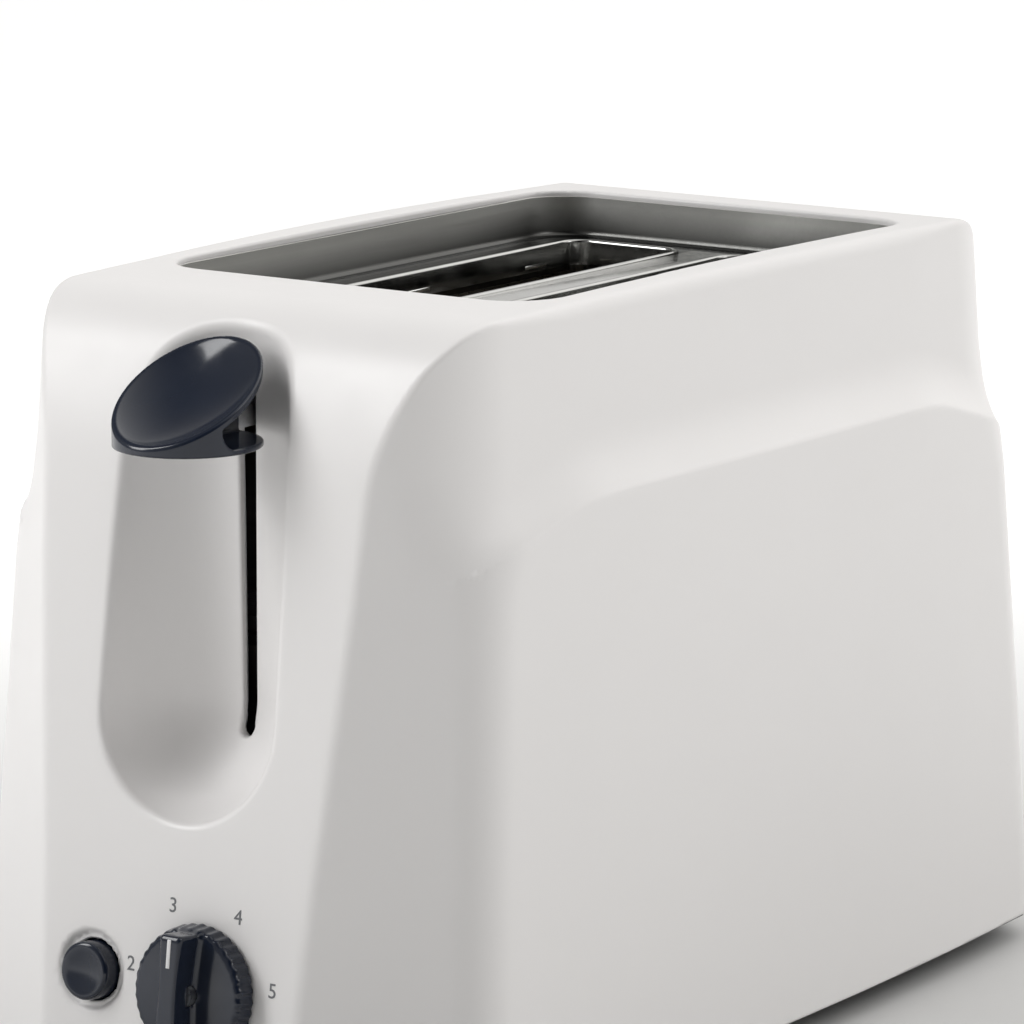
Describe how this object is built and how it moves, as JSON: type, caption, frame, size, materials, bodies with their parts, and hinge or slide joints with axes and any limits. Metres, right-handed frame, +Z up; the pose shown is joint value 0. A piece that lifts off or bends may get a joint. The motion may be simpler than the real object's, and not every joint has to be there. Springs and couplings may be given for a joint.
{
  "type": "pop up toaster",
  "caption": "White two-slice pop up toaster with a waisted moulded body, a sunken slot deck, a round dished lever knob in a finger recess, and a removable crumb tray.",
  "frame": {"origin": "on the ground under the centre of the bounding box", "axes": "+Z up, -Y the lever end, +Y the crumb tray end, +X to the right when facing the lever end"},
  "size_m": [0.1486, 0.2948, 0.179],
  "materials": {
    "white_body": "satin moulded white",
    "dark_base": "fine texture",
    "foot_rubber": "matte",
    "zinc_steel": "zinc plated",
    "deck_steel": "satin",
    "bright_trim": "polished",
    "aluminised_steel": "dull rolled",
    "bright_reflector": "bright rolled",
    "mica": "layered mica sheet",
    "heating_ribbon": "oxidised",
    "guard_wire": "drawn wire",
    "spring_steel": "oiled",
    "natural_nylon": "natural",
    "navy_plastic": "polished",
    "magnet_iron": "laminated",
    "coil_winding": "enamelled copper wire",
    "brown_phenolic": "moulded",
    "contact_brass": "rolled",
    "board_green": "solder resist",
    "component_black": "moulded",
    "component_blue": "sleeved",
    "lead_insulation": "silicone sleeve"
  },
  "bodies": {
    "body": {"outer_shell": "white_body", "base_plate": "dark_base", "rubber_feet": "foot_rubber", "base_screws": "zinc_steel", "cord_gland": "dark_base", "slot_deck": "deck_steel", "left_slot_lip": "bright_trim", "right_slot_lip": "bright_trim", "front_chassis_plate": "aluminised_steel", "rear_chassis_plate": "aluminised_steel", "chassis_floor": "aluminised_steel", "left_heat_shield": "bright_reflector", "right_heat_shield": "bright_reflector", "left_element_card": "mica", "centre_element_card": "mica", "right_element_card": "mica", "left_element_ribbon": "heating_ribbon", "centre_element_ribbon": "heating_ribbon", "right_element_ribbon": "heating_ribbon", "guide_rod": "bright_trim", "rod_clip": "spring_steel", "lift_spring": "spring_steel", "magnet_core": "magnet_iron", "magnet_coil": "coil_winding", "contact_block": "brown_phenolic", "contact_springs": "contact_brass", "control_board": "board_green", "board_screws": "zinc_steel", "timer_chip": "component_black", "capacitor": "component_blue", "dial_potentiometer": "component_blue", "stop_switch": "component_black", "terminal_block": "natural_nylon", "hookup_leads": "lead_insulation"},
    "lever_carriage": {"carriage_bracket": "zinc_steel", "carriage_bush": "natural_nylon", "lever_stem": "zinc_steel", "lever_knob": "navy_plastic", "left_bread_lifter": "aluminised_steel", "right_bread_lifter": "aluminised_steel", "keeper_plate": "magnet_iron"},
    "dial": {"browning_dial": "navy_plastic", "dial_shaft": "zinc_steel"},
    "button": {"stop_button": "navy_plastic"},
    "tray": {"crumb_tray": "aluminised_steel", "tray_handle": "dark_base"},
    "left_outer_guard_pivot": {"left_outer_guard": "guard_wire"},
    "left_inner_guard_pivot": {"left_inner_guard": "guard_wire"},
    "right_inner_guard_pivot": {"right_inner_guard": "guard_wire"},
    "right_outer_guard_pivot": {"right_outer_guard": "guard_wire"}
  },
  "joints": [
    {"name": "lever_slide", "type": "slide", "parent": "body", "child": "lever_carriage", "axis": [0, 0, 1], "range_m": [-0.062, 0], "stiffness_N_per_m": 120, "springref_m": 0.03, "deforming": ["lift_spring"]},
    {"name": "dial_turn", "type": "hinge", "parent": "body", "child": "dial", "pos_m": [0.009, -0.13375, 0.034], "axis": [0, -0.9919, 0.1271], "range_deg": [-135, 135]},
    {"name": "button_push", "type": "slide", "parent": "body", "child": "button", "axis": [0, 0.9919, -0.1271], "range_m": [0, 0.0025], "stiffness_N_per_m": 350, "springref_m": -0.0015},
    {"name": "tray_slide", "type": "slide", "parent": "body", "child": "tray", "axis": [0, 1, 0], "range_m": [0, 0.16]},
    {"name": "left_outer_guard_tilt", "type": "hinge", "parent": "body", "child": "left_outer_guard_pivot", "pos_m": [-0.0374, 0.00897, 0.032], "axis": [0, 1, 0], "range_deg": [0, 3]},
    {"name": "left_inner_guard_tilt", "type": "hinge", "parent": "body", "child": "left_inner_guard_pivot", "pos_m": [-0.0076, 0.00897, 0.032], "axis": [0, -1, 0], "range_deg": [0, 3]},
    {"name": "right_inner_guard_tilt", "type": "hinge", "parent": "body", "child": "right_inner_guard_pivot", "pos_m": [0.0076, 0.00897, 0.032], "axis": [0, 1, 0], "range_deg": [0, 3]},
    {"name": "right_outer_guard_tilt", "type": "hinge", "parent": "body", "child": "right_outer_guard_pivot", "pos_m": [0.0374, 0.00897, 0.032], "axis": [0, -1, 0], "range_deg": [0, 3]}
  ],
  "couplings": [
    {"joint": "left_outer_guard_tilt", "follows": "lever_slide", "rad_per_m": -0.8403},
    {"joint": "left_inner_guard_tilt", "follows": "lever_slide", "rad_per_m": -0.8403},
    {"joint": "right_inner_guard_tilt", "follows": "lever_slide", "rad_per_m": -0.8403},
    {"joint": "right_outer_guard_tilt", "follows": "lever_slide", "rad_per_m": -0.8403}
  ]
}
